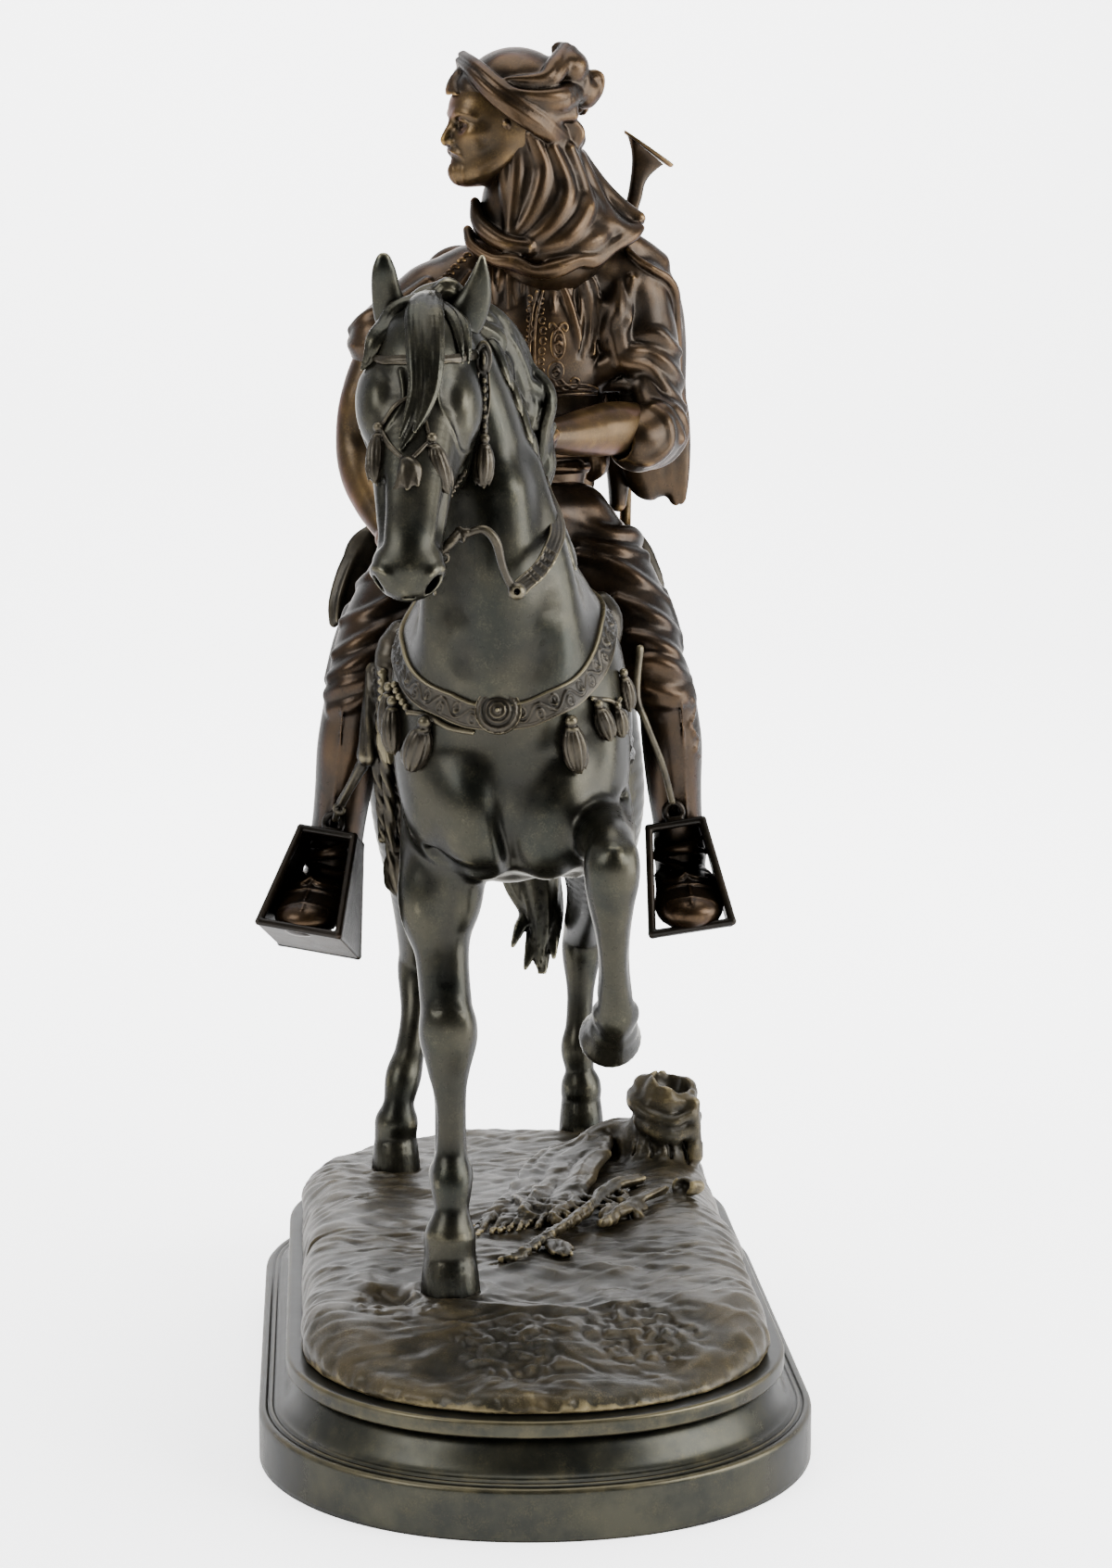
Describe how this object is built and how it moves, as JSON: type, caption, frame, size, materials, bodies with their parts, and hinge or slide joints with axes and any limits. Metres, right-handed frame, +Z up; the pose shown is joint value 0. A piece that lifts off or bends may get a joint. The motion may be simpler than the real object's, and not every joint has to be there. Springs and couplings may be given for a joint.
{
  "type": "equestrian statuette",
  "caption": "Patinated bronze statuette of a turbaned Arab horseman with slung musket on a walking harnessed horse, on rocky ground and a moulded plinth with bowed ends.",
  "frame": {"origin": "middle of the plinth's underside, on the surface it stands on", "axes": "+Z up, the horse walks towards -Y, +X to the horse's left"},
  "size_m": [0.29, 0.5241, 0.7324],
  "materials": {
    "plinth_bronze": "cast bronze, smooth dark olive patina, waxed to a semi-gloss, brassy where the arrises are worn",
    "earth_bronze": "cast bronze, olive-brown patina, matt and pitted, brassy on the high points",
    "horse_bronze": "cast bronze, dark green-black patina, semi-gloss, paler grey-green rubs",
    "rider_bronze": "cast bronze, chestnut brown patina, golden rubs on face, arm and fold edges",
    "harness_bronze": "cast bronze, grey-brown patina, semi-gloss",
    "brass": "aged brass and brown patinated bronze, satin"
  },
  "bodies": {
    "root": {"plinth": "plinth_bronze", "ground": "earth_bronze", "horse": "horse_bronze", "rider": "rider_bronze", "musket": "brass", "stirrup_right": "harness_bronze", "stirrup_left": "harness_bronze"}
  },
  "joints": []
}
